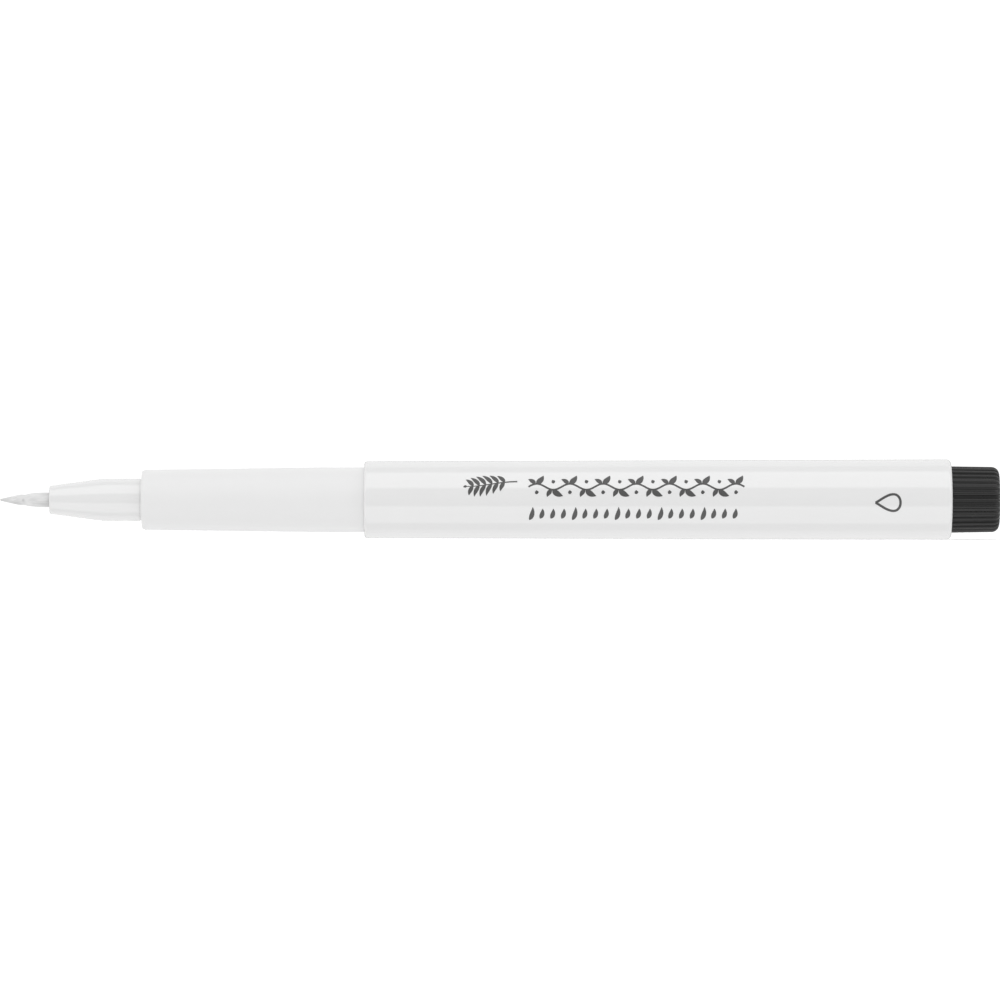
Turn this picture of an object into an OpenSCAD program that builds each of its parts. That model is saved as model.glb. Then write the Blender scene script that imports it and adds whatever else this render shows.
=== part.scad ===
// Brush pen, uncapped: a fibre brush nib in a tapered holder, a satin grip, a glossy
// barrel with an ink reservoir inside, and a ribbed plug that closes the rear end.
// The pen lies along X, with its point towards -X, and the origin is at its middle.

/* [Brush nib] */
// Length of brush that stands out of the nib holder
brush_l = 6.65; // [6.25:0.1:7.05]
// Diameter of the nib's shank
nib_d = 1.97; // [1.94:0.01:1.98]
// Diameter of the blunted points
point_d = 0.16; // [0.12:0.02:0.3]
// Length of the whole nib, which has a brush at both ends
nib_l = 34; // [33:0.5:38]
// Bend at the brush's heel, as a share of the visible length from the point
heel_at = 0.86; // [0.84:0.01:0.88]
// Bend at the brush's belly, the same way
belly_at = 0.615; // [0.6:0.005:0.63]
// Bend at the brush's point, the same way
tip_at = 0.37; // [0.35:0.01:0.39]

/* [Nib holder] */
// Length of the holder that shows
holder_l = 12.15; // [12:0.05:12.6]
// Diameter of its straight part
holder_d = 5.65; // [5.5:0.05:5.7]
// Diameter of its front face
holder_front_d = 3.72; // [3.6:0.02:3.9]
// Length of its straight part
holder_straight_l = 4.95; // [4.5:0.05:5.5]
// Radius of the blend between its cone and its straight part
holder_blend_r = 10; // [6:1:14]
// Diameter of the bore that holds the nib
nib_bore_d = 2.05; // [2.04:0.01:2.1]
// Diameter of the spigot inside the grip
holder_spigot_d = 5.2; // [5:0.1:5.3]
// Length of that spigot
holder_spigot_l = 8; // [7:0.5:8]

/* [Grip section] */
// Shadow gap between the holder's shoulder and the grip
holder_gap = 0.25; // [0.15:0.05:0.35]
// Length of the grip that shows
grip_l = 29.8; // [28:0.1:32]
// Diameter behind the front chamfer
grip_front_d = 8.04; // [7.9:0.02:8.2]
// Diameter of the cap seat at the rear
grip_rear_d = 8.67; // [8.6:0.01:8.7]
// Length of the cap seat, a true cylinder
cap_seat_l = 5.6; // [4:0.1:8]
// Bore around the reservoir
grip_bore_d = 6.6; // [6.56:0.02:6.7]
// Length of the spigot inside the barrel
grip_spigot_l = 12; // [10:0.5:12]

/* [Barrel] */
// Length of the barrel
barrel_l = 78.55; // [76.05:0.1:82.05]
// Diameter at the front
barrel_front_d = 10.26; // [10.2:0.02:10.4]
// Diameter at the rear
barrel_rear_d = 10.72; // [10.6:0.02:10.9]
// Diameter of the bore
barrel_bore_d = 8.1; // [8.08:0.02:8.14]
// Diameter of the mouth around the cap seat
barrel_mouth_d = 8.72; // [8.7:0.02:8.8]
// Rounding of the front shoulder
barrel_front_r = 0.45; // [0.3:0.05:0.5]
// Rounding of the rear edge
barrel_rear_r = 0.75; // [0.5:0.05:0.8]
// Ribs that centre the reservoir
rib_count = 6; // [4:1:8]

/* [Reservoir] */
// Diameter of the fibre core
core_d = 6.1; // [5.8:0.1:6.1]
// Thickness of the film around the core
film_t = 0.15; // [0.1:0.01:0.16]

/* [End plug] */
// Length of the plug that shows
plug_l = 6.45; // [6.05:0.1:7.45]
// Diameter over the ribs, at the barrel
plug_front_d = 8.92; // [8.8:0.02:9]
// Diameter over the ribs, at the end
plug_rear_d = 8.72; // [8.6:0.02:8.76]
// Rounding of the end
plug_r = 1; // [0.6:0.1:1]
// Number of grip ribs
plug_ribs = 30; // [24:2:36]
// Height of the grip ribs
plug_rib_h = 0.24; // [0.15:0.01:0.3]
// Length of the spigot inside the barrel
plug_spigot_l = 8; // [7:0.5:8]

/* [Hidden] */
$fn = 96;
pen_l = brush_l + holder_l + holder_gap + grip_l + barrel_l + plug_l;

// Places along the pen, counted from the brush's point
holder_z = brush_l;
shoulder_z = holder_z + holder_l;
grip_z = shoulder_z + holder_gap;
holder_end_z = grip_z + holder_spigot_l;
barrel_z = grip_z + grip_l;
grip_end_z = barrel_z + grip_spigot_l;
plug_z = barrel_z + barrel_l;
plug_spigot_z = plug_z - plug_spigot_l;

// Clearances: of a fit, of the nib's bends, and between parts that only lie close
fit_gap = 0.02;
bend_gap = 0.04;
loose_gap = 0.2;

// The brush outline is an arc that runs parallel to the axis at the shank
nib_r = nib_d / 2;
rise = nib_r - point_d / 2;
ogive_r = (brush_l * brush_l + rise * rise) / (2 * rise);
ogive_steps = 12;
heel_z = brush_l * heel_at;
belly_z = brush_l * belly_at;
tip_z = brush_l * tip_at;

// Nib holder details
holder_edge_r = 0.25;
holder_neck_d = 5.3;
mouth_flare = 0.12;
mouth_flare_l = 0.25;
vent_w = 0.8;
vent_count = 4;
vent_l = 3;
blend_steps = 6;
cone_l = holder_l - holder_straight_l;
cone_angle = atan((holder_d - holder_front_d) / 2 / cone_l);

// Grip details
grip_chamfer_l = 0.4;
grip_chamfer = 0.22;
grip_spigot_r = barrel_bore_d / 2 - fit_gap;
seam_w = 0.2;
seam_depth = 0.2;
mouth_l = 0.25;
mouth_step = 0.14;
bead_h = 0.1;
bead_w = 0.8;
bead_z = barrel_z + 6;
lead_in = 0.4;

// Barrel ribs and reservoir
rib_w = 0.7;
rib_z = grip_end_z + 1;
film_d = core_d + 2 * film_t;
core_z = holder_end_z + loose_gap;
core_end_z = plug_spigot_z - loose_gap;
pocket_gap = 0.06;

// End plug details: rib_turn is where the first grip rib stands, as a share of their pitch
rib_turn = 0.625;
rib_trim = 0.02;
plug_spigot_d = 7.7;
seal_w = 0.9;
seal_count = 3;
seal_pitch = 2.2;
plug_bore_d = 6.4;
plug_end_t = 1.4;
pusher_w = 0.8;

// Stands a shape that is drawn upwards from the point along the pen
module along_pen() {
    translate([-pen_l / 2, 0, 0])
        rotate([0, 90, 0])
            children();
}

// Turns an outline of [radius, height] points and rounds about the pen's axis
module turned() {
    rotate_extrude()
        children();
}

// A round bore from height z1 to z2
module bore(d, z1, z2) {
    translate([0, 0, z1])
        cylinder(d = d, h = z2 - z1);
}

// What a corner of radius r loses, in an outline whose corner is at [x, z]; up is 1 or -1
module corner_loss(x, z, r, up) {
    difference() {
        translate([x - r, up > 0 ? z - r : z - 1])
            square([r + 1, r + 1]);
        translate([x - r, z - up * r])
            circle(r);
    }
}

// Half of a round, on the outline's side of the axis
module half_disc(z, r) {
    intersection() {
        translate([0, z])
            circle(r);
        translate([0, z - r])
            square([r, 2 * r]);
    }
}

// The brush's radius at height z, where 0 is its point
function brush_r(z) = sqrt(ogive_r * ogive_r - pow(brush_l - z, 2)) - (ogive_r - nib_r);

// Outline points of the brush between two heights
function brush_side(z1, z2) = [
    for (i = [0:ogive_steps])
        let (z = z1 + (z2 - z1) * i / ogive_steps)
            [brush_r(z), z]
];

// A stretch of the brush from z1 to z2, as an outline
module brush_outline(z1, z2) {
    polygon(concat([[0, z1]], brush_side(z1, z2), [[0, z2]]));
}

// A stretch of brush with a hollow end at z2, and a ball end at z1 where it bends on
module brush_piece(z1, z2) {
    difference() {
        union() {
            brush_outline(z1, z2);
            if (z1 > 0)
                half_disc(z1, brush_r(z1));
        }
        half_disc(z2, brush_r(z2) + bend_gap);
    }
}

// Outline of the whole nib behind its heel: ball, shank and rear brush
module shank_outline() {
    half_disc(heel_z, brush_r(heel_z));
    polygon(concat(
        [[0, heel_z]],
        brush_side(heel_z, brush_l),
        [for (p = brush_side(brush_l, 0)) [p[0], nib_l - p[1]]],
        [[0, nib_l]]
    ));
}

// Outline points of the blend between the holder's cone and its straight part
function holder_blend() = [
    for (i = [0:blend_steps])
        let (a = cone_angle * (1 - i / blend_steps))
            [
                holder_d / 2 - holder_blend_r * (1 - cos(a)),
                holder_z + cone_l + holder_blend_r * (tan(cone_angle / 2) - sin(a))
            ]
];

module holder_outline() {
    difference() {
        polygon(concat(
            [[0, holder_z], [holder_front_d / 2, holder_z]],
            holder_blend(),
            [
                [holder_d / 2, shoulder_z],
                [holder_neck_d / 2, shoulder_z],
                [holder_neck_d / 2, grip_z],
                [holder_spigot_d / 2, grip_z],
                [holder_spigot_d / 2, holder_end_z - lead_in],
                [holder_spigot_d / 2 - lead_in, holder_end_z],
                [0, holder_end_z]
            ]
        ));
        corner_loss(holder_front_d / 2 + holder_edge_r * tan(cone_angle), holder_z, holder_edge_r, -1);
    }
}

module nib_holder() {
    color("white")
        along_pen()
            difference() {
                turned()
                    holder_outline();
                bore(nib_bore_d, holder_z - 1, holder_end_z + 1);
                translate([0, 0, holder_z - 0.01])
                    cylinder(d1 = nib_bore_d + 2 * mouth_flare, d2 = nib_bore_d, h = mouth_flare_l);
                for (i = [0:vent_count / 2 - 1])
                    rotate(i * 360 / vent_count)
                        translate([-holder_d / 2, -vent_w / 2, holder_end_z - vent_l])
                            cube([holder_d, vent_w, vent_l + 1]);
            }
}

module grip_outline() {
    polygon([
        [0, grip_z],
        [grip_front_d / 2 - grip_chamfer, grip_z],
        [grip_front_d / 2, grip_z + grip_chamfer_l],
        [grip_rear_d / 2, barrel_z - seam_w - cap_seat_l],
        [grip_rear_d / 2, barrel_z - seam_w],
        [grip_rear_d / 2 - seam_depth, barrel_z - seam_w],
        [grip_rear_d / 2 - seam_depth, barrel_z + mouth_l],
        [grip_spigot_r, barrel_z + mouth_l],
        [grip_spigot_r, bead_z - bead_w / 2],
        [grip_spigot_r + bead_h, bead_z],
        [grip_spigot_r, bead_z + bead_w / 2],
        [grip_spigot_r, grip_end_z - lead_in],
        [grip_spigot_r - lead_in, grip_end_z],
        [0, grip_end_z]
    ]);
}

module grip_section() {
    color("white")
        along_pen()
            difference() {
                turned()
                    grip_outline();
                bore(holder_spigot_d + 2 * fit_gap, grip_z - 1, holder_end_z + 1);
                bore(grip_bore_d, holder_end_z, grip_end_z + 1);
            }
}

module barrel_outline() {
    difference() {
        polygon([
            [0, barrel_z],
            [barrel_front_d / 2, barrel_z],
            [barrel_front_d / 2, barrel_z + 1],
            [barrel_rear_d / 2, plug_z - 1],
            [barrel_rear_d / 2, plug_z],
            [0, plug_z]
        ]);
        corner_loss(barrel_front_d / 2, barrel_z, barrel_front_r, -1);
        corner_loss(barrel_rear_d / 2, plug_z, barrel_rear_r, 1);
    }
}

// The flared mouth, whose floor is the grip's stop
module barrel_mouth() {
    translate([0, 0, barrel_z])
        cylinder(d1 = barrel_mouth_d, d2 = barrel_bore_d + 2 * mouth_step, h = mouth_l);
}

// The groove that the grip's snap bead springs into
module bead_groove() {
    turned()
        polygon([
            [0, bead_z - bead_w / 2 - bead_h],
            [barrel_bore_d / 2, bead_z - bead_w / 2 - bead_h],
            [barrel_bore_d / 2 + bead_h, bead_z - bead_h],
            [barrel_bore_d / 2 + bead_h, bead_z + bead_h],
            [barrel_bore_d / 2, bead_z + bead_w / 2 + bead_h],
            [0, bead_z + bead_w / 2 + bead_h]
        ]);
}

module barrel_ribs() {
    difference() {
        for (i = [0:rib_count - 1])
            rotate(i * 360 / rib_count)
                translate([0, -rib_w / 2, rib_z])
                    cube([barrel_bore_d / 2 + 0.2, rib_w, core_end_z - rib_z]);
        bore(film_d + 2 * pocket_gap, rib_z - 1, core_end_z + 1);
    }
}

module barrel() {
    color("white")
        along_pen() {
            difference() {
                turned()
                    barrel_outline();
                bore(barrel_bore_d, barrel_z - 1, plug_z + 1);
                barrel_mouth();
                bead_groove();
            }
            barrel_ribs();
        }
}

module nib_shank() {
    color("gainsboro")
        along_pen()
            turned()
                shank_outline();
}

module brush_heel() {
    color("gainsboro")
        along_pen()
            turned()
                brush_piece(belly_z, heel_z);
}

module brush_belly() {
    color("gainsboro")
        along_pen()
            turned()
                brush_piece(tip_z, belly_z);
}

module brush_point() {
    color("gainsboro")
        along_pen()
            turned()
                brush_piece(0, tip_z);
}

// The pocket that the nib's rear brush wicks from
module nib_pocket() {
    polygon(concat(
        [[0, core_z - 1], [nib_r + pocket_gap, core_z - 1]],
        [for (p = brush_side(brush_l, 0)) [p[0] + pocket_gap, nib_l - p[1]]],
        [[point_d / 2 + pocket_gap, nib_l + pocket_gap], [0, nib_l + pocket_gap]]
    ));
}

module ink_reservoir() {
    color("ivory")
        along_pen()
            difference() {
                translate([0, 0, core_z])
                    cylinder(d = core_d, h = core_end_z - core_z);
                turned()
                    nib_pocket();
            }
}

module reservoir_film() {
    color("lightblue")
        along_pen()
            difference() {
                translate([0, 0, core_z])
                    cylinder(d = film_d, h = core_end_z - core_z);
                bore(core_d + 2 * fit_gap, core_z - 1, core_end_z + 1);
            }
}

// Outline of the plug's head, less the given depth all round, with its rounded end
module plug_outline(depth) {
    difference() {
        polygon([
            [0, plug_z],
            [plug_front_d / 2 - depth, plug_z],
            [plug_rear_d / 2 - depth, pen_l - plug_r],
            [plug_rear_d / 2 - depth, pen_l],
            [0, pen_l]
        ]);
        corner_loss(plug_rear_d / 2 - depth, pen_l, plug_r, 1);
    }
}

// The grip ribs: round bars, cut back to the head's outline
module plug_grip_ribs() {
    rib_r = PI * plug_front_d / plug_ribs * 0.31;
    intersection() {
        translate([0, 0, plug_z])
            linear_extrude(plug_l)
                for (i = [0:plug_ribs - 1])
                    rotate((i + rib_turn) * 360 / plug_ribs)
                        translate([plug_front_d / 2 - rib_r + rib_trim, 0])
                            circle(rib_r);
        turned()
            plug_outline(0);
    }
}

module plug_head() {
    turned()
        plug_outline(plug_rib_h);
    plug_grip_ribs();
}

// The spigot has sealing rings that fill the barrel's bore
module plug_spigot() {
    translate([0, 0, plug_spigot_z])
        cylinder(d = plug_spigot_d, h = plug_spigot_l);
    for (i = [0:seal_count - 1])
        translate([0, 0, plug_z - seal_w - i * seal_pitch])
            cylinder(d = barrel_bore_d - 2 * fit_gap, h = seal_w);
}

// A cross inside the plug, which holds the reservoir forward
module plug_pusher() {
    intersection() {
        bore(plug_bore_d + 0.4, plug_spigot_z, pen_l - plug_end_t + 0.1);
        for (a = [0, 90])
            rotate(a)
                translate([-plug_bore_d, -pusher_w / 2, plug_spigot_z])
                    cube([2 * plug_bore_d, pusher_w, pen_l - plug_spigot_z]);
    }
}

module end_plug() {
    color([0.12, 0.12, 0.13])
        along_pen() {
            difference() {
                union() {
                    plug_head();
                    plug_spigot();
                }
                bore(plug_bore_d, plug_spigot_z - 1, pen_l - plug_end_t);
            }
            plug_pusher();
        }
}

barrel();
grip_section();
nib_holder();
nib_shank();
brush_heel();
brush_belly();
brush_point();
ink_reservoir();
reservoir_film();
end_plug();
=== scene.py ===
import math

import bpy
from mathutils import Matrix, Vector, noise


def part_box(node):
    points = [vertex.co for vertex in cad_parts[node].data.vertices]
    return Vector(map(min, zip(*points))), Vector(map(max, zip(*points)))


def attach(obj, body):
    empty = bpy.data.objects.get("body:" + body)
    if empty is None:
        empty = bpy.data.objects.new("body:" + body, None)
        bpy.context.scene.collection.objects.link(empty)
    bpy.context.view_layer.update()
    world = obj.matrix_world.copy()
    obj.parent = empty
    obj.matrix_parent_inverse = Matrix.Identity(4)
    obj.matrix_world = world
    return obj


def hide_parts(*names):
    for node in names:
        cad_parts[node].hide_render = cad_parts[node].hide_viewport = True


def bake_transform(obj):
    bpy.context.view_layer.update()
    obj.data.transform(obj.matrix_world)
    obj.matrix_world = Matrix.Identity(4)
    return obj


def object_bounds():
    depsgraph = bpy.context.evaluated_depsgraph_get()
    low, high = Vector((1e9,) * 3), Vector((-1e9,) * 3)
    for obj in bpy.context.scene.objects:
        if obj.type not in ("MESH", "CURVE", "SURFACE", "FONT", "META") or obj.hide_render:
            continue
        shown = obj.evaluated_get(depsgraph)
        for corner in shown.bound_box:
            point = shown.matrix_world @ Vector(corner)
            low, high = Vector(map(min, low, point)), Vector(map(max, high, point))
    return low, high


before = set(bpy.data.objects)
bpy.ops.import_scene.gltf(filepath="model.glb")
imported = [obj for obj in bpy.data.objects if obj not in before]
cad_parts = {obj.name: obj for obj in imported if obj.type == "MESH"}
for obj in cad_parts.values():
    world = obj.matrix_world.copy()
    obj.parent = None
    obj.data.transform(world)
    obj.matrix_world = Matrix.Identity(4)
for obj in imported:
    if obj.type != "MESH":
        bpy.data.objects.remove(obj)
cad_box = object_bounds()

# The looks of an uncapped brush pen. It lies along X with its point towards -X, and the
# printed side of its barrel faces -Y. Angles round the pen count up from the -Y side.

MM = 0.001
SEGMENTS = 192              # round the shells
CORE_SEGMENTS = 96          # round the reservoir
ARC_STEP = 11               # degrees of turn per row in a fillet
FILLET_SHARE = 0.45         # of a side's length that one fillet may take up
EDGE = 0.05 * MM            # an ordinary edge fillet
SHARP = 0.02 * MM           # a nearly sharp one
AXIS_GAP = 1e-9             # rows nearer the axis than this become a pole
REST_PLACE = "rest_place"   # the attribute that keeps each vertex's place at rest
PEN_START = cad_box[0].x

holder_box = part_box("nib_holder")
grip_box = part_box("grip_section")
barrel_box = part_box("barrel")
core_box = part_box("ink_reservoir")
film_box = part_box("reservoir_film")
plug_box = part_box("end_plug")
nib_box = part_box("nib_shank")


# ---------------------------------------------------------------- mesh helpers

def rounded(corners, closed=True, longest=2.5 * MM):
    """Rows (x, r, normal x, normal r) of an outline through clockwise (x, r, fillet) corners.

    No two rows along a straight side are further apart than longest.
    """
    count = len(corners)
    arcs = []
    for i, (x, r, fillet) in enumerate(corners):
        here = Vector((x, r))
        way_in = here - Vector(corners[i - 1][:2])
        way_out = Vector(corners[(i + 1) % count][:2]) - here
        if not closed and i == 0:
            arcs.append([(here, way_out.normalized())])
            continue
        if not closed and i == count - 1:
            arcs.append([(here, way_in.normalized())])
            continue
        ahead = way_in.normalized()
        turn = math.atan2(way_in.cross(way_out), way_in.dot(way_out))
        slope = math.tan(abs(turn) / 2)
        longest_reach = FILLET_SHARE * min(way_in.length, way_out.length)
        reach = min(fillet * slope, longest_reach)
        if slope < 1e-5 or reach < 1e-9:
            arcs.append([(here, ahead)])
            continue
        start = here - ahead * reach
        centre = start + Vector((-ahead.y, ahead.x)) * math.copysign(reach / slope, turn)
        steps = max(2, math.ceil(math.degrees(abs(turn)) / ARC_STEP))
        arc = []
        for k in range(steps + 1):
            spin = Matrix.Rotation(turn * k / steps, 2)
            arc.append((centre + spin @ (start - centre), spin @ ahead))
        arcs.append(arc)
    rows = []
    for i, arc in enumerate(arcs):
        rows += arc
        if not closed and i == count - 1:
            break
        a, b = arc[-1][0], arcs[(i + 1) % count][0][0]
        parts = math.ceil((b - a).length / longest)
        for k in range(1, parts):
            rows.append((a.lerp(b, k / parts), (b - a).normalized()))
    return [(p.x, p.y, -t.y, t.x) for p, t in rows]


def skin(rings, closed):
    """Faces between neighbouring rings of vertex numbers; a ring of one vertex is a pole."""
    pairs = list(zip(rings, rings[1:]))
    if closed:
        pairs.append((rings[-1], rings[0]))
    faces = []
    for a, b in pairs:
        count = max(len(a), len(b))
        for j in range(count):
            k = (j + 1) % count
            if len(a) == 1:
                faces.append((a[0], b[j], b[k]))
            elif len(b) == 1:
                faces.append((a[j], b[0], a[k]))
            else:
                faces.append((a[j], b[j], b[k], a[k]))
    return faces


def piece(name, vertices, faces, material, slot, normals=None):
    """A smooth-shaded object made of those vertices and faces."""
    mesh = bpy.data.meshes.new(name)
    mesh.from_pydata(vertices, [], faces)
    mesh.shade_smooth()
    if normals:
        mesh.normals_split_custom_set_from_vertices(normals)
    mesh.materials.append(material)
    obj = bpy.data.objects.new(name, mesh)
    bpy.context.scene.collection.objects.link(obj)
    return obj


def around(x, r, angle):
    """The point at distance r from the pen's axis, at that angle up from the -Y side."""
    return (x, -r * math.cos(angle), r * math.sin(angle))


def turned(name, outline, material, slot, closed=True, segments=SEGMENTS):
    """A body of revolution about the pen's axis."""
    vertices, normals, rings = [], [], []
    for x, r, normal_x, normal_r in outline:
        ring = []
        for j in range(1 if r < AXIS_GAP else segments):
            angle = 2 * math.pi * j / segments
            ring.append(len(vertices))
            vertices.append(around(x, r, angle))
            normals.append(around(normal_x, normal_r, angle))
        rings.append(ring)
    return piece(name, vertices, skin(rings, closed), material, slot, normals)


def lofted(name, rings_of_points, material, slot):
    """A skin over rings of points, with its normals evened by face size."""
    vertices, rings = [], []
    for points in rings_of_points:
        rings.append(list(range(len(vertices), len(vertices) + len(points))))
        vertices += points
    obj = piece(name, vertices, skin(rings, closed=False), material, slot)
    even = obj.modifiers.new("even_normals", "WEIGHTED_NORMAL")
    even.keep_sharp = True
    return obj


def merged(parts):
    """Vertices and faces of several (vertices, faces) parts as one mesh."""
    vertices, faces = [], []
    for part_vertices, part_faces in parts:
        faces += [tuple(n + len(vertices) for n in face) for face in part_faces]
        vertices += part_vertices
    return vertices, faces


def capped(rings):
    """Faces of a tube through those rings, with a flat face at each end."""
    return skin(rings, closed=False) + [tuple(reversed(rings[0])), tuple(rings[-1])]


def sharpen(obj, ring_start, count):
    """Marks a ring's edges as sharp, so that an end face doesn't darken the side."""
    ring = set(range(ring_start, ring_start + count))
    for edge in obj.data.edges:
        if edge.vertices[0] in ring and edge.vertices[1] in ring:
            edge.use_edge_sharp = True


def clamp(value, low=0.0, high=1.0):
    return max(low, min(high, value))


# ---------------------------------------------------------------- materials

def new_material(name, **sockets):
    """A material with a Principled shader, whose sockets are set by name."""
    material = bpy.data.materials.new(name)
    material.use_nodes = True
    shader = material.node_tree.nodes["Principled BSDF"]
    for socket, value in sockets.items():
        shader.inputs[socket.replace("_", " ")].default_value = value
    return material, material.node_tree, shader


def add(tree, kind, **settings):
    """A node of that kind. Names of inputs are given with in_ before them."""
    node = tree.nodes.new(kind)
    for key, value in settings.items():
        if key.startswith("in_"):
            node.inputs[key[3:].replace("_", " ")].default_value = value
        else:
            setattr(node, key, value)
    return node


def at_rest(tree):
    """Coordinates that stay on a piece that bends: where each point of it is at rest."""
    return add(tree, "ShaderNodeAttribute", attribute_name=REST_PLACE).outputs["Vector"]


def place_on_pen(tree, stretch=(1, 1, 1), place=None):
    """Coordinates that stay with the piece, stretched by the given factors."""
    place = place or add(tree, "ShaderNodeTexCoord").outputs["Object"]
    mapping = add(tree, "ShaderNodeMapping", in_Scale=stretch)
    tree.links.new(place, mapping.inputs["Vector"])
    return mapping.outputs["Vector"]


def mottle(tree, where, scale, detail=3.0):
    """A noise pattern whose features are about 1/scale metres across."""
    texture = add(tree, "ShaderNodeTexNoise", in_Scale=scale, in_Detail=detail)
    tree.links.new(where, texture.inputs["Vector"])
    return texture.outputs["Fac"]


def spread(tree, source, low, high, from_low=0.3, from_high=0.7):
    """Maps the middle of a pattern's range to low..high."""
    node = add(tree, "ShaderNodeMapRange", clamp=True)
    node.inputs["From Min"].default_value = from_low
    node.inputs["From Max"].default_value = from_high
    node.inputs["To Min"].default_value = low
    node.inputs["To Max"].default_value = high
    tree.links.new(source, node.inputs["Value"])
    return node.outputs["Result"]


MIX_A, MIX_B, MIX_RESULT = 6, 7, 2      # the colour sockets of a Mix node


def tint(tree, factor, colour_a, colour_b):
    """A mix of two colours; either may be a socket."""
    mix = add(tree, "ShaderNodeMix", data_type="RGBA")
    tree.links.new(factor, mix.inputs["Factor"])
    for socket, colour in ((mix.inputs[MIX_A], colour_a), (mix.inputs[MIX_B], colour_b)):
        if isinstance(colour, bpy.types.NodeSocket):
            tree.links.new(colour, socket)
        else:
            socket.default_value = colour
    return mix.outputs[MIX_RESULT]


def surface(tree, shader, colour, rough):
    """Links a colour and a roughness pattern to the shader."""
    tree.links.new(colour, shader.inputs["Base Color"])
    tree.links.new(rough, shader.inputs["Roughness"])


def relief(tree, shader, height, distance, strength=1.0):
    """Bump of that height in metres."""
    bump = add(tree, "ShaderNodeBump", in_Strength=strength, in_Distance=distance)
    tree.links.new(height, bump.inputs["Height"])
    tree.links.new(bump.outputs["Normal"], shader.inputs["Normal"])


def grey(value, warm=0.0):
    """A grey; warm adds that much to its red and takes it from its blue."""
    return (value + warm, value, value - warm, 1.0)


def glossy_white():
    """Polished white polystyrene, with the faint waviness of a moulded wall."""
    material, tree, shader = new_material("glossy_white_plastic", IOR=1.52, Coat_Weight=1.0,
                                          Coat_Roughness=0.045, Coat_IOR=1.48)
    where = place_on_pen(tree)
    along = place_on_pen(tree, (0.25, 1, 1))
    colour = tint(tree, mottle(tree, where, scale=260), grey(0.815), grey(0.835))
    rough = spread(tree, mottle(tree, along, scale=900), low=0.07, high=0.13)
    waves = mottle(tree, along, scale=420, detail=2)
    surface(tree, shader, colour, rough)
    relief(tree, shader, waves, distance=0.0016 * MM)
    return material


def satin_white():
    """The same plastic from a finely eroded mould, which makes it satin."""
    material, tree, shader = new_material("satin_white_plastic", IOR=1.5)
    where = place_on_pen(tree)
    colour = tint(tree, mottle(tree, where, scale=320), grey(0.826), grey(0.846))
    rough = spread(tree, mottle(tree, where, scale=1500), low=0.4, high=0.5)
    grain = mottle(tree, where, scale=9000, detail=4)
    surface(tree, shader, colour, rough)
    relief(tree, shader, grain, distance=0.006 * MM, strength=0.5)
    return material


def black_plastic():
    """Black plastic with a fine satin grain, rubbed a little brighter in patches."""
    material, tree, shader = new_material("black_plastic", IOR=1.5)
    where = place_on_pen(tree)
    colour = tint(tree, mottle(tree, where, scale=500), grey(0.0015), grey(0.004, warm=0.0002))
    rough = spread(tree, mottle(tree, where, scale=1100), low=0.26, high=0.38)
    grain = mottle(tree, where, scale=7000, detail=3)
    surface(tree, shader, colour, rough)
    relief(tree, shader, grain, distance=0.004 * MM, strength=0.5)
    return material


def print_ink():
    """Dark grey pad-printing ink, slightly uneven."""
    material, tree, shader = new_material("print_ink", IOR=1.5)
    where = place_on_pen(tree)
    colour = tint(tree, mottle(tree, where, scale=4000, detail=4), grey(0.062),
                  grey(0.092, warm=0.001))
    rough = spread(tree, mottle(tree, where, scale=2500), low=0.3, high=0.45)
    grain = mottle(tree, where, scale=6000, detail=2)
    surface(tree, shader, colour, rough)
    relief(tree, shader, grain, distance=0.002 * MM, strength=0.6)
    return material


def core_fibre():
    """Off-white polyester fibre bundled along the pen."""
    material, tree, shader = new_material("core_fibre", IOR=1.45)
    along = place_on_pen(tree, (0.04, 1, 1))
    strands = mottle(tree, along, scale=9000, detail=4)
    colour = tint(tree, strands, (0.62, 0.61, 0.57, 1), (0.84, 0.83, 0.8, 1))
    surface(tree, shader, colour, spread(tree, strands, low=0.75, high=0.95))
    relief(tree, shader, strands, distance=0.03 * MM, strength=0.7)
    return material


def clear_film():
    """Thin clear film, faintly blue."""
    material, tree, shader = new_material("clear_film", IOR=1.5, Alpha=0.6)
    where = place_on_pen(tree)
    colour = tint(tree, mottle(tree, where, scale=700), (0.78, 0.84, 0.88, 1),
                  (0.84, 0.89, 0.92, 1))
    rough = spread(tree, mottle(tree, where, scale=1500), low=0.08, high=0.16)
    surface(tree, shader, colour, rough)
    return material


def patch(tree, place, centre, size):
    """1 at the centre of an ellipsoid and 0 outside it. Centre and size are in metres."""
    shift = add(tree, "ShaderNodeMapping", vector_type="TEXTURE")
    shift.inputs["Location"].default_value = centre
    shift.inputs["Scale"].default_value = size
    tree.links.new(place, shift.inputs["Vector"])
    length = add(tree, "ShaderNodeVectorMath", operation="LENGTH")
    tree.links.new(shift.outputs["Vector"], length.inputs[0])
    fade = add(tree, "ShaderNodeMapRange", interpolation_type="SMOOTHSTEP")
    fade.inputs["From Min"].default_value = 1.0
    fade.inputs["From Max"].default_value = 0.0
    tree.links.new(length.outputs["Value"], fade.inputs["Value"])
    return fade.outputs["Result"]


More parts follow.
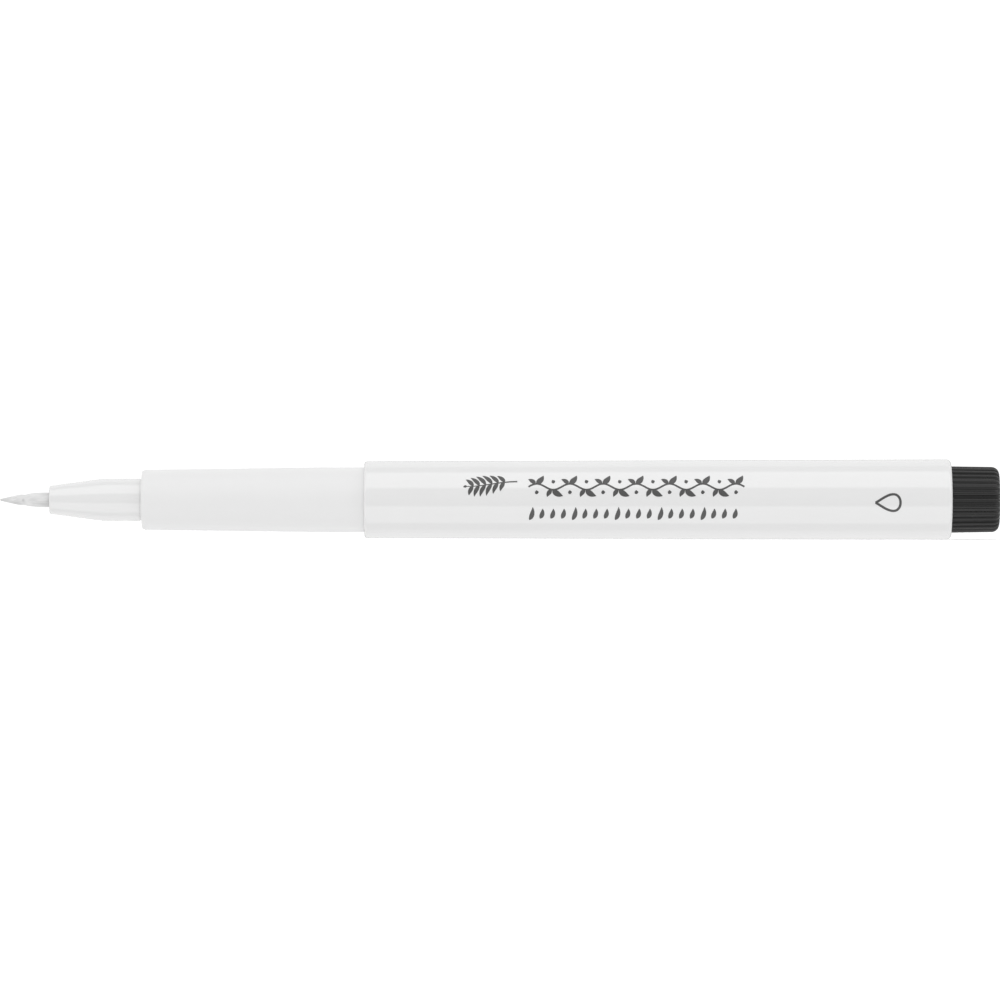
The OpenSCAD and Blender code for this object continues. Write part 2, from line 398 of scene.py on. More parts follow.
def brush_fibre():
    """Grey-white bonded fibre: fine strands along the nib, with painted shade and painted light on
    its folds in front, and a painted shadow ring at the holder's mouth.
    """
    material, tree, shader = new_material("brush_fibre", IOR=1.4)
    place = at_rest(tree)
    along = place_on_pen(tree, (0.06, 1, 1), place)
    strands = mottle(tree, along, scale=7000, detail=5)
    colour = tint(tree, spread(tree, strands, low=0, high=1), grey(0.69), grey(0.82))
    # Painted shade and painted light: darker and lighter tones where the folds, the lower side of
    # the point and the root at the holder's mouth are shaded or lit.
    painted_shade, painted_light = grey(0.57), grey(0.84)
    painted_folds = [
        # painted shade and light, each: distance from the point, y, z, size along, size across
        # (all in mm), colour, its share
        (0.3, 0.0, 0.0, 2.2, 0.9, painted_shade, 0.6),
        (2.0, -0.45, -0.48, 1.4, 0.45, painted_shade, 0.8),
        (3.15, -0.7, -0.08, 0.28, 0.35, painted_shade, 0.9),
        (3.9, -0.6, -0.55, 0.75, 0.4, painted_light, 1.0),
        (4.6, -0.8, 0.05, 1.1, 0.3, painted_shade, 0.5),
        (4.7, -0.6, 0.6, 1.5, 0.5, painted_light, 0.8),
        (6.0, -0.8, -0.6, 1.5, 0.75, painted_shade, 0.6),
        # painted shadow ring round the root, where the brush goes into the holder
        (6.5, -0.6, -0.1, 0.3, 0.95, painted_shade, 0.6),
    ]
    # each patch tints the fibre towards its painted shade or painted light
    for s, y, z, size_x, size_r, painted_tone, share in painted_folds:
        painted_patch = patch(tree, place, (PEN_START + s * MM, y * MM, z * MM),
                     (size_x * MM, size_r * MM, size_r * MM))
        strength = spread(tree, painted_patch, low=0, high=share, from_low=0, from_high=1)
        colour = tint(tree, strength, colour, painted_tone)
    surface(tree, shader, colour, spread(tree, strands, low=0.7, high=0.9))
    relief(tree, shader, strands, distance=0.02 * MM, strength=0.6)
    return material


WHITE_GLOSS = glossy_white()
WHITE_SATIN = satin_white()
BLACK = black_plastic()
INK = print_ink()
CORE = core_fibre()
FILM = clear_film()
FIBRE = brush_fibre()


# ---------------------------------------------------------------- nib holder

HOLDER_FRONT_R = 1.86 * MM
HOLDER_FRONT_FILLET = 0.25 * MM
HOLDER_CONE_L = 7.2 * MM
HOLDER_CONE_FILLET = 10 * MM
HOLDER_SHOW_L = 12.15 * MM
HOLDER_NECK_R = 2.765 * MM
HOLDER_NECK_FILLET = 0.08 * MM
HOLDER_SPIGOT_R = 2.6 * MM
HOLDER_BORE_R = 1.025 * MM
HOLDER_FLARE = 0.12 * MM
SPIGOT_CHAMFER = 0.4 * MM   # of the holder's and the grip's spigots


def make_holder():
    """The cone between brush and grip, and the spigot that the grip holds it by."""
    front, rear = holder_box[0].x, holder_box[1].x
    straight_r = holder_box[1].z
    shoulder = front + HOLDER_SHOW_L
    grip_front = grip_box[0].x
    outline = rounded([
        (front, HOLDER_BORE_R + HOLDER_FLARE, EDGE),
        (front, HOLDER_FRONT_R, HOLDER_FRONT_FILLET),
        (front + HOLDER_CONE_L, straight_r, HOLDER_CONE_FILLET),
        (shoulder, straight_r, HOLDER_NECK_FILLET),
        (shoulder, HOLDER_NECK_R, EDGE),
        (grip_front, HOLDER_NECK_R, EDGE),
        (grip_front, HOLDER_SPIGOT_R, SHARP),
        (rear - SPIGOT_CHAMFER, HOLDER_SPIGOT_R, EDGE),
        (rear, HOLDER_SPIGOT_R - SPIGOT_CHAMFER, EDGE),
        (rear, HOLDER_BORE_R, EDGE),
        (front + 2 * HOLDER_FLARE, HOLDER_BORE_R, EDGE),
    ], longest=1.5 * MM)
    obj = turned("nib_holder_shell", outline, WHITE_GLOSS, "white_gloss")
    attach(obj, "pen_body")
    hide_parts("nib_holder")


# ---------------------------------------------------------------- grip section

GRIP_FRONT_R = 4.02 * MM
GRIP_CHAMFER = 0.22 * MM
GRIP_CHAMFER_L = 0.4 * MM
GRIP_FRONT_FILLET = 0.5 * MM
CAP_SEAT_L = 5.6 * MM
CAP_SEAT_FILLET = 20 * MM
SEAM_W = 0.2 * MM           # the groove in front of the barrel
SEAM_DEPTH = 0.012 * MM
MOUTH_L = 0.25 * MM         # the barrel's mouth, which reaches over the grip
GRIP_SPIGOT_R = 4.03 * MM
GRIP_BORE_R = 3.3 * MM
GRIP_GAP = 0.02 * MM        # round the holder's spigot
BEAD_AT = 6 * MM            # the snap bead, from the barrel's front
BEAD_HALF_W = 0.4 * MM
BEAD_H = 0.1 * MM
BEAD_FILLET = 0.2 * MM
BEAD_TOP_FILLET = 0.3 * MM


def make_grip():
    """The grip and its spigot, whose bead snaps into the barrel."""
    front, rear = grip_box[0].x, grip_box[1].x
    seat_r = grip_box[1].z
    seam = barrel_box[0].x
    bead = seam + BEAD_AT
    holder_rear = holder_box[1].x
    outline = rounded([
        (front, GRIP_FRONT_R - GRIP_CHAMFER, EDGE),
        (front + GRIP_CHAMFER_L, GRIP_FRONT_R, GRIP_FRONT_FILLET),
        (seam - SEAM_W - CAP_SEAT_L, seat_r, CAP_SEAT_FILLET),
        (seam - SEAM_W, seat_r, EDGE),
        (seam - SEAM_W / 2, seat_r - SEAM_DEPTH, EDGE),
        (seam + MOUTH_L, seat_r - SEAM_DEPTH, SHARP),
        (seam + MOUTH_L, GRIP_SPIGOT_R, SHARP),
        (bead - BEAD_HALF_W, GRIP_SPIGOT_R, BEAD_FILLET),
        (bead, GRIP_SPIGOT_R + BEAD_H, BEAD_TOP_FILLET),
        (bead + BEAD_HALF_W, GRIP_SPIGOT_R, BEAD_FILLET),
        (rear - SPIGOT_CHAMFER, GRIP_SPIGOT_R, EDGE),
        (rear, GRIP_SPIGOT_R - SPIGOT_CHAMFER, EDGE),
        (rear, GRIP_BORE_R, EDGE),
        (holder_rear, GRIP_BORE_R, EDGE),
        (holder_rear, HOLDER_SPIGOT_R + GRIP_GAP, EDGE),
        (front, HOLDER_SPIGOT_R + GRIP_GAP, EDGE),
    ])
    obj = turned("grip_shell", outline, WHITE_SATIN, "white_satin")
    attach(obj, "pen_body")
    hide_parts("grip_section")


# ---------------------------------------------------------------- barrel

BARREL_FRONT_R = 5.13 * MM
BARREL_FRONT_FILLET = 0.45 * MM
BARREL_REAR_FILLET = 0.75 * MM
BARREL_BORE_R = 4.05 * MM
BARREL_BORE_FILLET = 0.12 * MM
MOUTH_R = 4.345 * MM
MOUTH_STEP = 0.14 * MM
MOUTH_FILLET = 0.03 * MM
BARREL_RIBS = 6             # inside it, round the reservoir
BARREL_RIB_W = 0.7 * MM
BARREL_RIB_START = 13 * MM
BARREL_RIB_ROOT = 0.1 * MM
BARREL_RIB_BEVEL = 0.12 * MM
BARREL_RIB_GAP = 0.06 * MM


def make_barrel():
    """The barrel, open at both ends, with a groove in its bore for the grip's bead."""
    front, rear = barrel_box[0].x, barrel_box[1].x
    bead = front + BEAD_AT
    outline = rounded([
        (front, BARREL_FRONT_R, BARREL_FRONT_FILLET),
        (rear, barrel_box[1].z, BARREL_REAR_FILLET),
        (rear, BARREL_BORE_R, BARREL_BORE_FILLET),
        (bead + BEAD_HALF_W + BEAD_H, BARREL_BORE_R, BEAD_FILLET),
        (bead + BEAD_H, BARREL_BORE_R + BEAD_H, BEAD_FILLET),
        (bead - BEAD_H, BARREL_BORE_R + BEAD_H, BEAD_FILLET),
        (bead - BEAD_HALF_W - BEAD_H, BARREL_BORE_R, BEAD_FILLET),
        (front + MOUTH_L, BARREL_BORE_R, SHARP),
        (front + MOUTH_L, BARREL_BORE_R + MOUTH_STEP, SHARP),
        (front, MOUTH_R, MOUTH_FILLET),
    ])
    obj = turned("barrel_shell", outline, WHITE_GLOSS, "white_gloss")
    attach(obj, "pen_body")
    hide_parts("barrel")


def bar(section, start, end, bevel):
    """Vertices and faces of a bar along X with a bevel at each end."""
    centre = sum((Vector(p) for p in section), Vector((0, 0))) / len(section)
    reach = max((Vector(p) - centre).length for p in section)
    rings, vertices = [], []
    for x, inset in ((start, bevel), (start + bevel, 0), (end - bevel, 0), (end, bevel)):
        ring = []
        for p in section:
            y, z = centre.lerp(Vector(p), 1 - inset / reach)
            ring.append(len(vertices))
            vertices.append((x, y, z))
        rings.append(ring)
    return vertices, capped(rings)


def make_barrel_ribs():
    """Ribs in the barrel that centre the reservoir; their roots are inside its wall."""
    inner, outer = film_box[1].z + BARREL_RIB_GAP, BARREL_BORE_R + BARREL_RIB_ROOT
    half, bevel = BARREL_RIB_W / 2, BARREL_RIB_BEVEL
    section = [(outer, -half), (outer, half), (inner + bevel, half), (inner, half - bevel),
               (inner, bevel - half), (inner + bevel, -half)]
    ribs = []
    for i in range(BARREL_RIBS):
        spin = Matrix.Rotation(2 * math.pi * i / BARREL_RIBS, 2)
        placed = [tuple(spin @ Vector(p)) for p in section]
        ribs.append(bar(placed, barrel_box[0].x + BARREL_RIB_START, core_box[1].x, bevel))
    obj = piece("barrel_ribs", *merged(ribs), WHITE_GLOSS, "white_gloss")
    obj.data.shade_flat()
    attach(obj, "pen_body")


# ---------------------------------------------------------------- reservoir

NIB_L = 34 * MM
BRUSH_L = 6.65 * MM         # the tapered part at each end of the nib
POCKET_GAP = 0.06 * MM
POCKET_STEPS = 8
CORE_MOUTH_FILLET = 0.05 * MM
CORE_FILLET = 0.15 * MM
FILM_FILLET = 0.03 * MM
FILM_GAP = 0.02 * MM


def make_reservoir():
    """The fibre core with a pocket for the nib's rear end, and the film round it."""
    front, rear = core_box[0].x, core_box[1].x
    core_r = core_box[1].z
    nib_end = PEN_START + NIB_L
    pocket = [(nib_end + POCKET_GAP, 0, 0), (nib_end + POCKET_GAP, POINT_R + POCKET_GAP, EDGE)]
    for k in range(POCKET_STEPS + 1):
        s = BRUSH_L * k / POCKET_STEPS
        pocket.append((nib_end - s, brush_r(s) + POCKET_GAP, EDGE))
    outline = rounded(pocket + [
        (front, nib_box[1].z + POCKET_GAP, CORE_MOUTH_FILLET),
        (front, core_r, CORE_FILLET),
        (rear, core_r, CORE_FILLET),
        (rear, 0, 0),
    ], closed=False, longest=1.5 * MM)
    core = turned("reservoir_core", outline, CORE, "core_fibre", closed=False,
                  segments=CORE_SEGMENTS)
    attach(core, "pen_body")
    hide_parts("ink_reservoir")
    film_r = film_box[1].z
    outline = rounded([
        (front, film_r, FILM_FILLET),
        (rear, film_r, FILM_FILLET),
        (rear, core_r + FILM_GAP, FILM_FILLET),
        (front, core_r + FILM_GAP, FILM_FILLET),
    ], longest=4 * MM)
    film = turned("reservoir_sleeve", outline, FILM, "clear_film", segments=CORE_SEGMENTS)
    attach(film, "pen_body")
    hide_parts("reservoir_film")


# ---------------------------------------------------------------- end plug

PLUG_RIBS = 30
PLUG_RIB_H = 0.24 * MM
PLUG_RIB_R = 0.29 * MM
RIB_TURN = 0.875            # in rib pitches, so that the ribs face the camera as the photo's do
RIB_START = 0.061 * MM      # just behind the fillet at the head's front
RIB_FADE_R = 2.2 * MM       # on the end face the ribs have faded out at this radius,
RIB_FADE_W = 1.1 * MM       # over this distance
PLUG_FRONT_R = 4.46 * MM
PLUG_FRONT_FILLET = 0.06 * MM
PLUG_REAR_R = 4.36 * MM
PLUG_END_R = 1.0 * MM
PLUG_END_T = 1.4 * MM
PLUG_BORE_R = 3.2 * MM
PLUG_BORE_FILLET = 0.3 * MM
PLUG_MOUTH_FILLET = 0.1 * MM
PLUG_SPIGOT_R = 3.85 * MM
PLUG_SPIGOT_FILLET = 0.2 * MM
SEAL_R = 4.03 * MM
SEAL_W = 0.9 * MM
SEAL_FILLET = 0.15 * MM
SEAL_STEP_FILLET = 0.004 * MM   # of the last seal, which ends at the head
SEAL_PITCH = 2.2 * MM
SEALS = 3
DIMPLE_R = 0.75 * MM        # in the end face
DIMPLE_FLOOR_R = 0.55 * MM
DIMPLE_DEPTH = 0.12 * MM
DIMPLE_FILLET = 0.1 * MM
DIMPLE_FLOOR_FILLET = 0.15 * MM
DIMPLE_CLEAR = 0.8 * MM     # the ribs' depth counts only outside this
TOUCH = 1e-6                # nearer than this to a surface is on it
STEP_TOUCH = 1e-7
CROSS_W = 0.8 * MM          # the cross inside the plug
CROSS_ROOT = 0.15 * MM
CROSS_END_ROOT = 0.1 * MM
CROSS_BEVEL = 0.08 * MM

# Places across one rib and its valleys, in rib pitches: closer together where the rib is steep.
RIB_SHARES = [-0.5, -0.42, -0.34, -0.31, -0.29, -0.25, -0.19, -0.1, 0,
              0.1, 0.19, 0.25, 0.29, 0.31, 0.34, 0.42]


def rib_height(across):
    """Share of a grip rib's height at that distance from its middle."""
    root = PLUG_RIB_R - PLUG_RIB_H
    if abs(across) >= PLUG_RIB_R:
        return 0.0
    return clamp((math.sqrt(PLUG_RIB_R ** 2 - across ** 2) - root) / PLUG_RIB_H)


def plug_outline():
    """Half the plug's section: from the axis inside it, forwards, and back over its outside."""
    front, end = plug_box[0].x, plug_box[1].x
    step = barrel_box[1].x
    corners = [
        (end - PLUG_END_T, 0, 0),
        (end - PLUG_END_T, PLUG_BORE_R, PLUG_BORE_FILLET),
        (front, PLUG_BORE_R, PLUG_MOUTH_FILLET),
        (front, PLUG_SPIGOT_R, PLUG_SPIGOT_FILLET),
    ]
    for i in reversed(range(SEALS)):
        seal_end = step - i * SEAL_PITCH
        corners += [
            (seal_end - SEAL_W, PLUG_SPIGOT_R, EDGE),
            (seal_end - SEAL_W, SEAL_R, SEAL_FILLET),
            (seal_end, SEAL_R, SEAL_FILLET if i else SEAL_STEP_FILLET),
        ]
        if i:
            corners.append((seal_end, PLUG_SPIGOT_R, EDGE))
    corners += [
        (step, PLUG_FRONT_R, PLUG_FRONT_FILLET),
        (end, PLUG_REAR_R, PLUG_END_R),
        (end, DIMPLE_R, DIMPLE_FILLET),
        (end - DIMPLE_DEPTH, DIMPLE_FLOOR_R, DIMPLE_FLOOR_FILLET),
        (end - DIMPLE_DEPTH, 0, 0),
    ]
    return rounded(corners, closed=False, longest=0.8 * MM)


def rib_depth(x, r):
    """Share of the valleys' full depth at that place on the plug's outline."""
    step, end = barrel_box[1].x, plug_box[1].x
    outside = r > PLUG_BORE_R + TOUCH or x > end - TOUCH
    if x > step + RIB_START and r > DIMPLE_CLEAR and outside:
        return clamp((r - RIB_FADE_R) / RIB_FADE_W)
    if x > step - STEP_TOUCH and r > SEAL_R:
        return clamp((r - SEAL_R) / (PLUG_FRONT_R - SEAL_R))
    return 0


def make_plug():
    """The plug with its ribbed head, and the cross inside it."""
    pitch = 2 * math.pi / PLUG_RIBS
    angles = [(i + RIB_TURN + share) * pitch for i in range(PLUG_RIBS) for share in RIB_SHARES]
    sinks = [PLUG_RIB_H * (1 - rib_height(share * pitch * PLUG_FRONT_R))
             for i in range(PLUG_RIBS) for share in RIB_SHARES]
    rings = []
    for x, r, _, _ in plug_outline():
        if r < AXIS_GAP:
            rings.append([(x, 0, 0)])
            continue
        depth = rib_depth(x, r)
        rings.append([around(x, r - sink * depth, a) for a, sink in zip(angles, sinks)])
    obj = lofted("plug_shell", rings, BLACK, "black_plastic")
    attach(obj, "plug")
    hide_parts("end_plug")
    half, arm = CROSS_W / 2, PLUG_BORE_R + CROSS_ROOT
    section = []
    for quarter in range(4):
        spin = Matrix.Rotation(quarter * math.pi / 2, 2)
        section += [tuple(spin @ Vector(p)) for p in ((arm, -half), (arm, half), (half, half))]
    cross_end = plug_box[1].x - PLUG_END_T + CROSS_END_ROOT
    vertices, faces = bar(section, plug_box[0].x, cross_end, CROSS_BEVEL)
    cross = piece("plug_cross", vertices, faces, BLACK, "black_plastic")
    cross.data.shade_flat()
    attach(cross, "plug")


# ---------------------------------------------------------------- brush nib

FIBRE_SIDES = 120
POINT_R = 0.08 * MM
NOSE_L = 0.1 * MM           # the rounded very end of each point
NOSE_FLAT = 0.35            # share of the radius left at its end
STRAND_DEPTH = 0.022        # of the strands, as shares of the radius
FINE_DEPTH = 0.012
HOLD_L = 0.4 * MM           # over which the strands get evener into the holder
HOLD_EVEN = 0.6             # share of their depth lost there

# Distances between rings: in the nose, behind it, where the nib bends, in the holder, at the rear.
NOSE_STEP, POINT_STEP, BEND_STEP = 0.02 * MM, 0.04 * MM, 0.08 * MM
HELD_STEP, REAR_STEP = 1.5 * MM, 0.2 * MM

# Where the three stretches of nib meet, from the point.
HEEL_CUT, BELLY_CUT = 4.9 * MM, 3.25 * MM


def brush_r(s):
    """The brush's radius s from its point: an arc that meets the shank without a corner."""
    nib_r = nib_box[1].z
    rise = nib_r - POINT_R
    big = (BRUSH_L ** 2 + rise ** 2) / (2 * rise)
    return math.sqrt(big ** 2 - (BRUSH_L - min(s, BRUSH_L)) ** 2) - (big - nib_r)


def strand_noise(s, angle, round_it, along, shift=0):
    """Noise in strands along the nib; round_it and along say how fine it is either way."""
    return noise.noise(Vector((round_it * math.cos(angle), round_it * math.sin(angle),
                               s / MM * along + shift)))


def off(s, centre, width):
    """The distance from s to that centre, squared, with width as its unit."""
    return ((s - centre) / width) ** 2


def front_dents(s, angle):
    """Swell, fold and notch of the front brush, as shares of its radius."""
    up = math.sin(angle)
    swell = 0.035 * clamp((BRUSH_L - s) / (0.5 * MM))
    fold_at = (3.38 + 0.05 * up) * MM
    fold = (0.1 + 0.03 * up) * math.exp(-off(s, fold_at, 0.36 * MM))
    hump = 0.04 * math.exp(-off(s, 2.4 * MM, 0.5 * MM))
    notch = 0.1 * math.exp(-off(s, 3.05 * MM, 0.2 * MM) - off(angle, -0.15, 0.35))
    return swell - fold + hump - notch


def fibre_r(s, angle):
    """Radius of the nib at distance s, with its strands and the fold in its point."""
    from_end = min(s, NIB_L - s)
    r = brush_r(from_end)
    if from_end < NOSE_L:
        r *= NOSE_FLAT + (1 - NOSE_FLAT) * math.sqrt(1 - (1 - from_end / NOSE_L) ** 2)
    coarse = STRAND_DEPTH * (strand_noise(s, angle, 14, 0.35) - 1)
    fine = FINE_DEPTH * strand_noise(s, angle, 38, 0.8, shift=7)
    in_holder = clamp((s - BRUSH_L) / HOLD_L) * clamp((NIB_L - BRUSH_L - s) / HOLD_L)
    share = (coarse + fine) * (1 - HOLD_EVEN * in_holder)
    if s < BRUSH_L:
        share += front_dents(s, angle)
    return r * (1 + share)


def fibre_ring(s):
    """One ring of the nib, at distance s from its point."""
    ring = []
    for j in range(FIBRE_SIDES):
        angle = 2 * math.pi * j / FIBRE_SIDES
        signed = angle - 2 * math.pi if angle > math.pi else angle
        ring.append(around(PEN_START + s, fibre_r(s, signed), angle))
    return ring


def fibre_piece(name, places):
    """A closed stretch of nib through those distances from the point."""
    rings = [fibre_ring(s) for s in places]
    start = [[(PEN_START + places[0], 0, 0)]]
    end = [[(PEN_START + places[-1], 0, 0)]]
    obj = lofted(name, start + rings + end, FIBRE, "brush_fibre")
    rest = obj.data.attributes.new(REST_PLACE, "FLOAT_VECTOR", "POINT")
    rest.data.foreach_set("vector", [c for v in obj.data.vertices for c in v.co])
    sharpen(obj, 1, FIBRE_SIDES)
    sharpen(obj, 1 + FIBRE_SIDES * (len(rings) - 1), FIBRE_SIDES)
    return obj


def stations(start, end, step):
    """Distances from start to end, about a step apart."""
    count = max(1, round((end - start) / step))
    return [start + (end - start) * i / count for i in range(count + 1)]


def make_nib():
    """Three stretches of one nib; each crosses one bend, and they meet where nothing bends."""
    tail, nose_end = NIB_L - BRUSH_L, 0.3 * MM
    shank = fibre_piece("nib_fibres", stations(HEEL_CUT, BRUSH_L + 0.5 * MM, BEND_STEP)
                        + stations(BRUSH_L + 1.5 * MM, tail - 0.5 * MM, HELD_STEP)
                        + stations(tail, NIB_L - NOSE_L, REAR_STEP)
                        + stations(NIB_L - NOSE_L, NIB_L, NOSE_STEP)[1:])
    belly = fibre_piece("brush_body", stations(BELLY_CUT, HEEL_CUT, BEND_STEP))
    point = fibre_piece("brush_tip", stations(0, NOSE_L, NOSE_STEP)[:-1]
                        + stations(NOSE_L, nose_end, POINT_STEP)[:-1]
                        + stations(nose_end, BELLY_CUT, BEND_STEP))
    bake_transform(shank)
    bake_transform(belly)
    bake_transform(point)
    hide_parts("nib_shank", "brush_heel")
    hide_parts("brush_belly")
    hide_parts("brush_point")


# ---------------------------------------------------------------- print on the barrel

# The marks are drawn in millimetres: along from the brush's point, and up the barrel's wall.
INK_TOP = 0.018 * MM
INK_ROOT = 0.02 * MM
LEAF_STEPS = 10
LEAF_TIP_W = 0.04
LEAF_BEND = 0.35            # radians between a leaf's two ends


def on_barrel(x, arc, lift):
    """The point at x, arc up the barrel's wall from the -Y side, and lift off it."""
    front, rear = barrel_box[0].x, barrel_box[1].x
    r = BARREL_FRONT_R + (barrel_box[1].z - BARREL_FRONT_R) * (x - front) / (rear - front)
    return around(x, r + lift, arc / r)


def stroke(centre, widths):
    """Vertices and faces of one ink stroke, from (x, arc) points and widths in millimetres."""
    vertices, rings = [], []
    count = len(centre)
    for i, (p, width) in enumerate(zip(centre, widths)):
        before, after = Vector(centre[max(i - 1, 0)]), Vector(centre[min(i + 1, count - 1)])
        side = (after - before).normalized()
        side = Vector((-side.y, side.x)) * width / 2
        ring = []
        for edge, lift in ((-1, -INK_ROOT), (-1, INK_TOP), (1, INK_TOP), (1, -INK_ROOT)):
            q = Vector(p) + side * edge
            ring.append(len(vertices))
            vertices.append(on_barrel(PEN_START + q.x * MM, q.y * MM, lift))
        rings.append(ring)
    return vertices, capped(rings)


def printed(name, strokes):
    """One printed mark made of ink strokes."""
    drawn = merged([stroke(centre, widths) for centre, widths in strokes])
    obj = piece(name, *drawn, INK, "black_plastic")
    obj.data.shade_flat()
    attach(obj, "pen_body")


def leaf(base, direction, length, width):
    """A pointed leaf that curves a little and is widest before its middle, as a stroke."""
    centre, widths = [], []
    for i in range(LEAF_STEPS + 1):
        t = i / LEAF_STEPS
        way = direction + LEAF_BEND * (t - 0.5)
        centre.append((base[0] + length * t * math.cos(way),
                       base[1] + length * t * math.sin(way)))
        widths.append(LEAF_TIP_W + width * math.sin(math.pi * t ** 0.8) ** 0.9)
    return centre, widths


def make_sprig():
    """A sprig of leaves at the front of the print."""
    start, end, middle, rise = 62.6, 69.3, 2.15, 0.35
    thin, thick, pairs, splay = 0.1, 0.1, 6, 0.95
    steps = 16
    stem = [(start + (end - start) * t / steps,
             middle + rise * math.sin(math.pi * (t / steps - 0.5))) for t in range(steps + 1)]
    strokes = [(stem, [thin + thick * t / steps for t in range(steps + 1)])]
    for i in range(pairs):
        base = stem[2 + 2 * i]
        size = 1.05 + 0.75 * math.sin(math.pi * (i + 1) / (pairs + 1))
        for side in (-1, 1):
            strokes.append(leaf(base, math.pi - side * splay, length=size, width=0.52))
    strokes.append(leaf(stem[0], math.pi, length=0.5, width=0.3))
    printed("print_sprig", strokes)


def make_vine():
    """A running vine: a waving stem with a leaf at each crest and a berry across from it."""
    start, end, middle, crests = 70.8, 99.6, 1.75, 13
    wave, stem_w, berry_off = 0.42, 0.24, 0.7
    steps = crests * 8
    stem = []
    for i in range(steps + 1):
        t = i / steps
        stem.append((start + (end - start) * t, middle + wave * math.sin(math.pi * crests * t)))
    strokes = [(stem, [stem_w] * len(stem))]
    for k in range(crests):
        side = 1 if k % 2 == 0 else -1
        x = start + (end - start) * (k + 0.5) / crests
        crest = middle + wave * side
        berry = (x - 0.25, middle - berry_off * side)
        strokes.append(leaf((x - 0.1, crest), side * 0.72, length=1.6, width=0.74))
        strokes.append(leaf((x - 0.2, crest), math.pi - side * 0.8, length=1.15, width=0.56))
        strokes.append(leaf(berry, -side * 0.2, length=0.5, width=0.5))
    printed("print_vine", strokes)


def make_marks():
    """A row of short brush marks below the vine."""
    start, end, middle, count = 71.2, 98.4, -1.9, 20
    lean, width = 1.15, 0.58
    strokes = []
    for i in range(count):
        x = start + (end - start) * i / (count - 1)
        tall = 1.9 if i % 4 == 0 else 1.45
        strokes.append(leaf((x - 0.3, middle - tall / 2), lean, tall, width))
    printed("print_marks", strokes)


def make_tip_icon():
    """A small drop-shaped outline of a brush tip near the rear of the barrel."""
    tip, base, middle, half = 117.05, 120.4, -0.42, 1.6
    line_w, steps = 0.32, 48
    centre = []
    for i in range(steps + 1):
        t = 2 * math.pi * i / steps
        along = (1 - math.cos(t)) / 2
        up = half * math.sin(t) * math.sin(t / 2) ** 1.5
        centre.append((tip + (base - tip) * along, middle + up))
    printed("print_tip_icon", [(centre, [line_w] * len(centre))])


# ---------------------------------------------------------------- stage, light and camera

VIEW_WIDTH = 0.134          # metres across the picture at the pen's axis
VIEW_DISTANCE = 1.045
VIEW_CENTRE_X = 0.000075
VIEW_CENTRE_Z = -0.000043
VIEW_ROLL = 0.0004          # radians
SENSOR = 36.0
WHITE = (1, 1, 1, 1)
BACKGROUND = 1.1
FLOOR_HALF = 2.0
FLOOR_GLOW = 0.2

# The light tent in bands along the pen: each band's end angle, in degrees up from the camera's
# side, and its brightness. The first band starts at -180.
TENT = [(-163, 0.55), (-104, 0.89), (-74.4, 0.67), (-19.6, 1.31), (35, 0.51), (89, 1.48),
        (114, 0.63), (163, 0.89), (180, 0.55)]
TENT_EDGE = 2.5             # half the width of the soft edge between two bands, in degrees
TENT_SCALE = 2.0            # above every brightness, as the ramp's colours stay below 1


def make_stage():
    """A pale floor under the pen, which no other piece's light comes from."""
    mesh = bpy.data.meshes.new("floor")
    size, z = FLOOR_HALF, cad_box[0].z
    mesh.from_pydata([(-size, -size, z), (size, -size, z), (size, size, z), (-size, size, z)],
                     [], [(0, 1, 2, 3)])
    floor = bpy.data.objects.new("floor", mesh)
    bpy.context.scene.collection.objects.link(floor)
    material, _, _ = new_material("floor_white", Base_Color=grey(0.9), Roughness=1.0,
                                  Emission_Color=WHITE, Emission_Strength=FLOOR_GLOW,
                                  Specular_IOR_Level=0)
    mesh.materials.append(material)
    floor.visible_glossy = False
    floor.visible_diffuse = False
    floor.visible_shadow = False


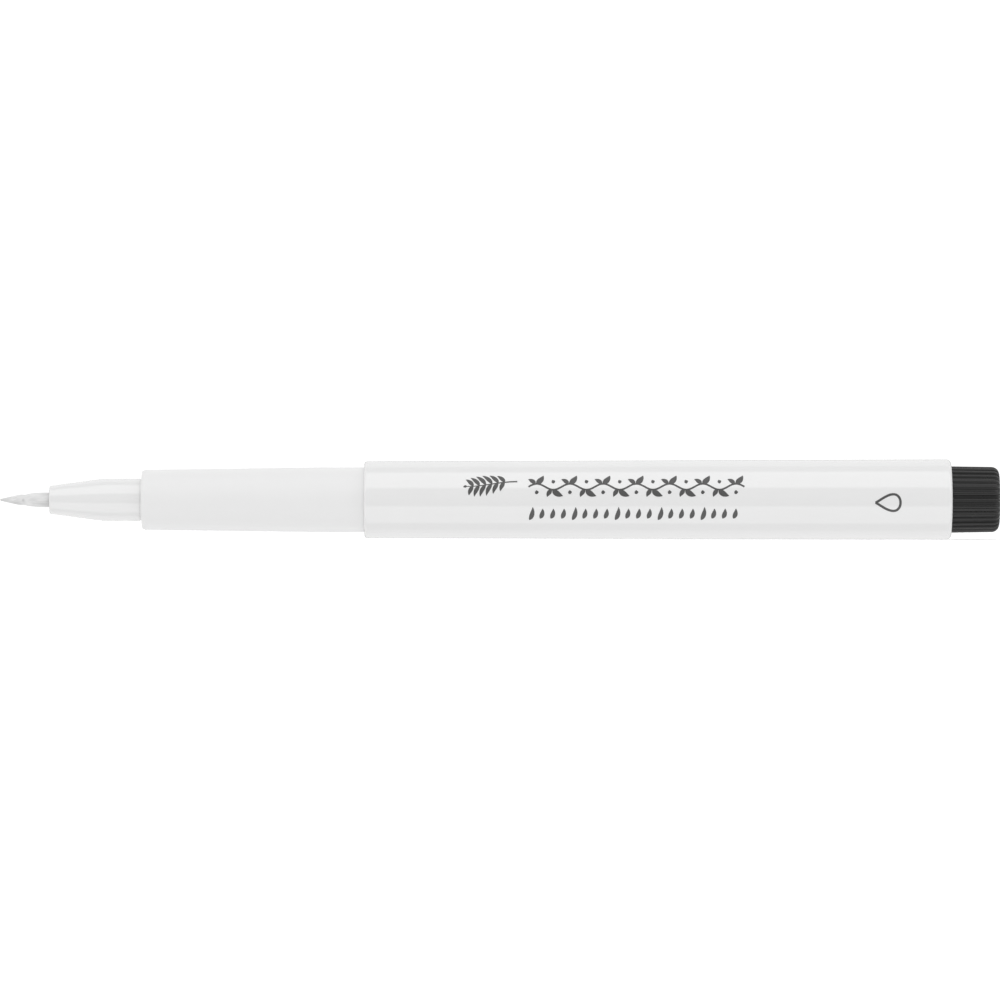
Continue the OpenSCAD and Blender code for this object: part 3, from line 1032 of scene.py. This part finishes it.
def make_light():
    """The tent lights the pen; the camera itself sees a plain white background."""
    world = bpy.data.worlds.new("tent")
    bpy.context.scene.world = world
    world.use_nodes = True
    tree = world.node_tree
    tree.nodes.clear()
    place = add(tree, "ShaderNodeTexCoord")
    parts = add(tree, "ShaderNodeSeparateXYZ")
    tree.links.new(place.outputs["Generated"], parts.inputs[0])
    toward = add(tree, "ShaderNodeMath", operation="MULTIPLY")
    toward.inputs[1].default_value = -1
    tree.links.new(parts.outputs["Y"], toward.inputs[0])
    angle = add(tree, "ShaderNodeMath", operation="ARCTAN2")
    tree.links.new(parts.outputs["Z"], angle.inputs[0])
    tree.links.new(toward.outputs[0], angle.inputs[1])
    turn = spread(tree, angle.outputs[0], 0, 1, -math.pi, math.pi)
    ramp = add(tree, "ShaderNodeValToRGB")
    tree.links.new(turn, ramp.inputs["Fac"])
    stops = ramp.color_ramp.elements
    stops.remove(stops[1])
    stops[0].position = 0
    stops[0].color = grey(TENT[0][1] / TENT_SCALE)
    for (end, value), (_, following) in zip(TENT, TENT[1:]):
        for shift, level in ((-TENT_EDGE, value), (TENT_EDGE, following)):
            stop = stops.new((end + shift + 180) / 360)
            stop.color = grey(level / TENT_SCALE)
    tent = add(tree, "ShaderNodeBackground", in_Strength=TENT_SCALE)
    tree.links.new(ramp.outputs["Color"], tent.inputs["Color"])
    plain = add(tree, "ShaderNodeBackground", in_Color=WHITE, in_Strength=BACKGROUND)
    path = add(tree, "ShaderNodeLightPath")
    either = add(tree, "ShaderNodeMixShader")
    tree.links.new(path.outputs["Is Camera Ray"], either.inputs["Fac"])
    tree.links.new(tent.outputs[0], either.inputs[1])
    tree.links.new(plain.outputs[0], either.inputs[2])
    output = add(tree, "ShaderNodeOutputWorld")
    tree.links.new(either.outputs[0], output.inputs["Surface"])


def make_camera():
    """A long lens square to the pen's side, which frames the whole pen."""
    data = bpy.data.cameras.new("camera")
    data.sensor_width = SENSOR
    data.lens = SENSOR * VIEW_DISTANCE / VIEW_WIDTH
    data.clip_start = 0.05
    camera = bpy.data.objects.new("camera", data)
    camera.location = (VIEW_CENTRE_X, -VIEW_DISTANCE, VIEW_CENTRE_Z)
    camera.rotation_euler = (math.radians(90), VIEW_ROLL, 0)
    bpy.context.scene.collection.objects.link(camera)
    bpy.context.scene.camera = camera
    bpy.context.scene.view_settings.view_transform = "Standard"


make_camera()
make_light()
make_stage()
make_holder()
make_grip()
make_barrel()
make_barrel_ribs()
make_reservoir()
make_plug()
make_nib()
make_sprig()
make_vine()
make_marks()
make_tip_icon()
